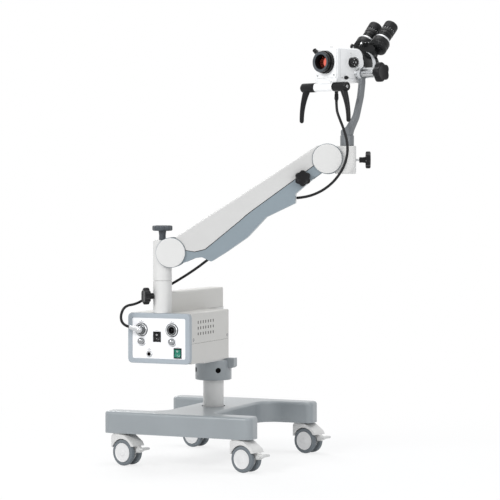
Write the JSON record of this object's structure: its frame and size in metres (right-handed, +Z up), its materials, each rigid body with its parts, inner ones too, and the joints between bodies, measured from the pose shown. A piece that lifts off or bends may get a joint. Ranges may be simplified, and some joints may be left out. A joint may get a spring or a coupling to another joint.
{
  "type": "colposcope",
  "caption": "Wheeled-stand colposcope: H base on hooded casters, column, light source box, balanced arm, yoke and inclined binocular head with handles.",
  "frame": {"origin": "on the floor, at the centre of the outline seen from above", "axes": "+Z up; X along the base bars, from the column towards the head; -Y the side that the control panel faces"},
  "size_m": [0.8412, 0.6551, 1.2518],
  "materials": {
    "cast_grey": "satin",
    "cream": "satin",
    "white": "satin",
    "beige": "satin",
    "bezel_blue": "satin",
    "black": "satin",
    "knob_grey": "satin",
    "tyre": "matte",
    "steel": "brushed",
    "chrome": "polished",
    "green": "gloss",
    "rubber": "matte",
    "glass": "coated",
    "panel": "satin",
    "pedal": "satin",
    "arm_grey": "satin"
  },
  "bodies": {
    "stand": {"base_casting": "cast_grey", "column_tube": "cream"},
    "caster_front_left": {"caster_fork_front_left": "cream"},
    "wheels_front_left": {"caster_wheels_front_left": "tyre"},
    "pedal_front_left": {"caster_pedal_front_left": "pedal"},
    "caster_front_right": {"caster_fork_front_right": "cream"},
    "wheels_front_right": {"caster_wheels_front_right": "tyre"},
    "pedal_front_right": {"caster_pedal_front_right": "pedal"},
    "caster_rear_left": {"caster_fork_rear_left": "cream"},
    "wheels_rear_left": {"caster_wheels_rear_left": "tyre"},
    "pedal_rear_left": {"caster_pedal_rear_left": "pedal"},
    "caster_rear_right": {"caster_fork_rear_right": "cream"},
    "wheels_rear_right": {"caster_wheels_rear_right": "tyre"},
    "pedal_rear_right": {"caster_pedal_rear_right": "pedal"},
    "carriage": {"column_collar": "cast_grey", "support_bracket": "cream", "box_chassis": "beige", "box_cover": "beige", "front_bezel": "bezel_blue", "front_panel": "panel", "panel_sockets": "chrome", "swing_beam": "beige", "upright_tube": "cream", "panel_plug": "chrome", "light_cable_lower": "rubber"},
    "lamp_rocker": {"lamp_switch": "black"},
    "power_rocker": {"power_switch": "green"},
    "dimmer_left": {"dimmer_knob_left": "chrome"},
    "dimmer_right": {"dimmer_knob_right": "chrome"},
    "upright_clamp": {"upright_knob": "black"},
    "post": {"post_head": "cream", "lower_pivot_pin": "cream"},
    "tension": {"tension_knob": "knob_grey"},
    "arm": {"arm_channel": "arm_grey", "arm_cover": "white", "balance_spring": "steel", "light_cable_upper": "rubber"},
    "arm_lock": {"arm_lock_knob": "black"},
    "link": {"levelling_link": "steel"},
    "block": {"end_block": "cream", "upper_pivot_pin": "cream"},
    "socket": {"socket_knob": "black"},
    "yoke": {"yoke_post": "arm_grey", "tilt_shaft": "chrome"},
    "head": {"scope_body": "white", "objective_barrel": "black", "objective_lens": "glass", "rear_drum": "black", "binocular_body": "black", "head_plug": "black"},
    "tilt_lock": {"tilt_knob": "black"},
    "focus": {"focus_lever": "black"},
    "magnification": {"magnification_knob": "black"},
    "filter": {"filter_knob": "black"},
    "grip_left": {"handle_left": "black"},
    "prism_housing_left": {"prism_left": "black"},
    "dioptre_left": {"eyepiece_left": "black"},
    "grip_right": {"handle_right": "black"},
    "prism_housing_right": {"prism_right": "black"},
    "dioptre_right": {"eyepiece_right": "black"}
  },
  "joints": [
    {"name": "swivel_front_left", "type": "hinge", "parent": "stand", "child": "caster_front_left", "pos_m": [-0.3761, -0.1576, 0], "axis": [0, 0, 1], "continuous": true},
    {"name": "spin_front_left", "type": "hinge", "parent": "caster_front_left", "child": "wheels_front_left", "pos_m": [-0.35195, -0.16407, 0.0375], "axis": [0.2588, 0.9659, 0], "continuous": true},
    {"name": "brake_front_left", "type": "hinge", "parent": "caster_front_left", "child": "pedal_front_left", "pos_m": [-0.30849, -0.17572, 0.046], "axis": [0.2588, 0.9659, 0], "range_deg": [0, 14]},
    {"name": "swivel_front_right", "type": "hinge", "parent": "stand", "child": "caster_front_right", "pos_m": [-0.0061, -0.1576, 0], "axis": [0, 0, 1], "continuous": true},
    {"name": "spin_front_right", "type": "hinge", "parent": "caster_front_right", "child": "wheels_front_right", "pos_m": [0.01805, -0.16407, 0.0375], "axis": [0.2588, 0.9659, 0], "continuous": true},
    {"name": "brake_front_right", "type": "hinge", "parent": "caster_front_right", "child": "pedal_front_right", "pos_m": [0.06152, -0.17572, 0.046], "axis": [0.2588, 0.9659, 0], "range_deg": [0, 14]},
    {"name": "swivel_rear_left", "type": "hinge", "parent": "stand", "child": "caster_rear_left", "pos_m": [-0.3761, 0.3004, 0], "axis": [0, 0, 1], "continuous": true},
    {"name": "spin_rear_left", "type": "hinge", "parent": "caster_rear_left", "child": "wheels_rear_left", "pos_m": [-0.35195, 0.29393, 0.0375], "axis": [0.2588, 0.9659, 0], "continuous": true},
    {"name": "brake_rear_left", "type": "hinge", "parent": "caster_rear_left", "child": "pedal_rear_left", "pos_m": [-0.30849, 0.28228, 0.046], "axis": [0.2588, 0.9659, 0], "range_deg": [0, 14]},
    {"name": "swivel_rear_right", "type": "hinge", "parent": "stand", "child": "caster_rear_right", "pos_m": [-0.0061, 0.3004, 0], "axis": [0, 0, 1], "continuous": true},
    {"name": "spin_rear_right", "type": "hinge", "parent": "caster_rear_right", "child": "wheels_rear_right", "pos_m": [0.01805, 0.29393, 0.0375], "axis": [0.2588, 0.9659, 0], "continuous": true},
    {"name": "brake_rear_right", "type": "hinge", "parent": "caster_rear_right", "child": "pedal_rear_right", "pos_m": [0.06152, 0.28228, 0.046], "axis": [0.2588, 0.9659, 0], "range_deg": [0, 14]},
    {"name": "column_swivel", "type": "hinge", "parent": "stand", "child": "carriage", "pos_m": [-0.1911, 0.0714, 0.3], "axis": [0, 0, 1], "range_deg": [-60, 60]},
    {"name": "lamp_rock", "type": "hinge", "parent": "carriage", "child": "lamp_rocker", "pos_m": [-0.1966, -0.2856, 0.378], "axis": [1, 0, 0], "range_deg": [-9, 0]},
    {"name": "power_rock", "type": "hinge", "parent": "carriage", "child": "power_rocker", "pos_m": [-0.1336, -0.2856, 0.334], "axis": [1, 0, 0], "range_deg": [-9, 0]},
    {"name": "dimmer_turn_left", "type": "hinge", "parent": "carriage", "child": "dimmer_left", "pos_m": [-0.2446, -0.2896, 0.365], "axis": [0, -1, 0], "range_deg": [0, 270]},
    {"name": "dimmer_turn_right", "type": "hinge", "parent": "carriage", "child": "dimmer_right", "pos_m": [-0.1511, -0.2896, 0.365], "axis": [0, -1, 0], "range_deg": [0, 270]},
    {"name": "upright_clamp_turn", "type": "hinge", "parent": "carriage", "child": "upright_clamp", "pos_m": [-0.21011, -0.28233, 0.49], "axis": [-0.7314, -0.682, 0], "continuous": true},
    {"name": "post_swivel", "type": "hinge", "parent": "carriage", "child": "post", "pos_m": [-0.1911, -0.2646, 0.532], "axis": [0, 0, 1], "range_deg": [-60, 60], "deforming": ["light_cable_lower"]},
    {"name": "tension_turn", "type": "hinge", "parent": "post", "child": "tension", "pos_m": [-0.1911, -0.2646, 0.644], "axis": [0, 0, 1], "continuous": true},
    {"name": "arm_lift", "type": "hinge", "parent": "post", "child": "arm", "pos_m": [-0.16604, -0.25597, 0.61], "axis": [0.3256, -0.9455, 0], "range_deg": [-50, 12], "deforming": ["light_cable_lower"]},
    {"name": "arm_lock_turn", "type": "hinge", "parent": "arm", "child": "arm_lock", "pos_m": [0.18787, -0.16584, 0.81385], "axis": [0.3256, -0.9455, 0], "continuous": true},
    {"name": "link_lift", "type": "hinge", "parent": "post", "child": "link", "pos_m": [-0.16604, -0.25597, 0.634], "axis": [0.3256, -0.9455, 0], "range_deg": [-50, 12]},
    {"name": "block_level", "type": "hinge", "parent": "arm", "child": "block", "pos_m": [0.24043, -0.11601, 0.86728], "axis": [0.3256, -0.9455, 0], "range_deg": [-12, 50], "deforming": ["light_cable_upper"]},
    {"name": "socket_turn", "type": "hinge", "parent": "block", "child": "socket", "pos_m": [0.31323, -0.09094, 0.86428], "axis": [0.9455, 0.3256, 0], "continuous": true},
    {"name": "yoke_swivel", "type": "hinge", "parent": "block", "child": "yoke", "pos_m": [0.29016, -0.09889, 0.90228], "axis": [0, 0, 1], "range_deg": [-60, 60], "deforming": ["light_cable_upper"]},
    {"name": "head_tilt", "type": "hinge", "parent": "yoke", "child": "head", "pos_m": [0.34021, -0.11632, 1.09928], "axis": [0.9444, -0.3289, 0], "range_deg": [-25, 20], "deforming": ["light_cable_upper"]},
    {"name": "tilt_lock_turn", "type": "hinge", "parent": "yoke", "child": "tilt_lock", "pos_m": [0.38838, -0.13309, 1.09928], "axis": [0.9444, -0.3289, 0], "continuous": true},
    {"name": "focus_turn", "type": "hinge", "parent": "head", "child": "focus", "pos_m": [0.25892, -0.1886, 1.12688], "axis": [-0.3289, -0.9444, 0], "range_deg": [-30, 30]},
    {"name": "magnification_turn", "type": "hinge", "parent": "head", "child": "magnification", "pos_m": [0.31655, -0.13561, 1.12718], "axis": [0.9444, -0.3289, 0], "continuous": true},
    {"name": "filter_turn", "type": "hinge", "parent": "head", "child": "filter", "pos_m": [0.308, -0.16017, 1.08528], "axis": [0.9444, -0.3289, 0], "range_deg": [0, 90]},
    {"name": "grip_turn_left", "type": "hinge", "parent": "head", "child": "grip_left", "pos_m": [0.20669, -0.1683, 1.05928], "axis": [0.9444, -0.3289, 0], "range_deg": [-40, 40]},
    {"name": "spacing_left", "type": "hinge", "parent": "head", "child": "prism_housing_left", "pos_m": [0.3234, -0.00343, 1.1784], "axis": [0.2243, 0.6441, 0.7314], "range_deg": [-4, 20]},
    {"name": "dioptre_turn_left", "type": "hinge", "parent": "prism_housing_left", "child": "dioptre_left", "pos_m": [0.31042, 0.04442, 1.22228], "axis": [0.2243, 0.6441, 0.7314], "range_deg": [-90, 90]},
    {"name": "grip_turn_right", "type": "hinge", "parent": "head", "child": "grip_right", "pos_m": [0.31246, -0.20513, 1.05928], "axis": [0.9444, -0.3289, 0], "range_deg": [-40, 40]},
    {"name": "spacing_right", "type": "hinge", "parent": "head", "child": "prism_housing_right", "pos_m": [0.3234, -0.00343, 1.1784], "axis": [0.2243, 0.6441, 0.7314], "range_deg": [-20, 4]},
    {"name": "dioptre_turn_right", "type": "hinge", "parent": "prism_housing_right", "child": "dioptre_right", "pos_m": [0.3633, 0.026, 1.22228], "axis": [0.2243, 0.6441, 0.7314], "range_deg": [-90, 90]}
  ],
  "couplings": [
    {"joint": "link_lift", "follows": "arm_lift", "ratio": 1},
    {"joint": "block_level", "follows": "arm_lift", "ratio": -1},
    {"joint": "spacing_right", "follows": "spacing_left", "ratio": -1}
  ]
}
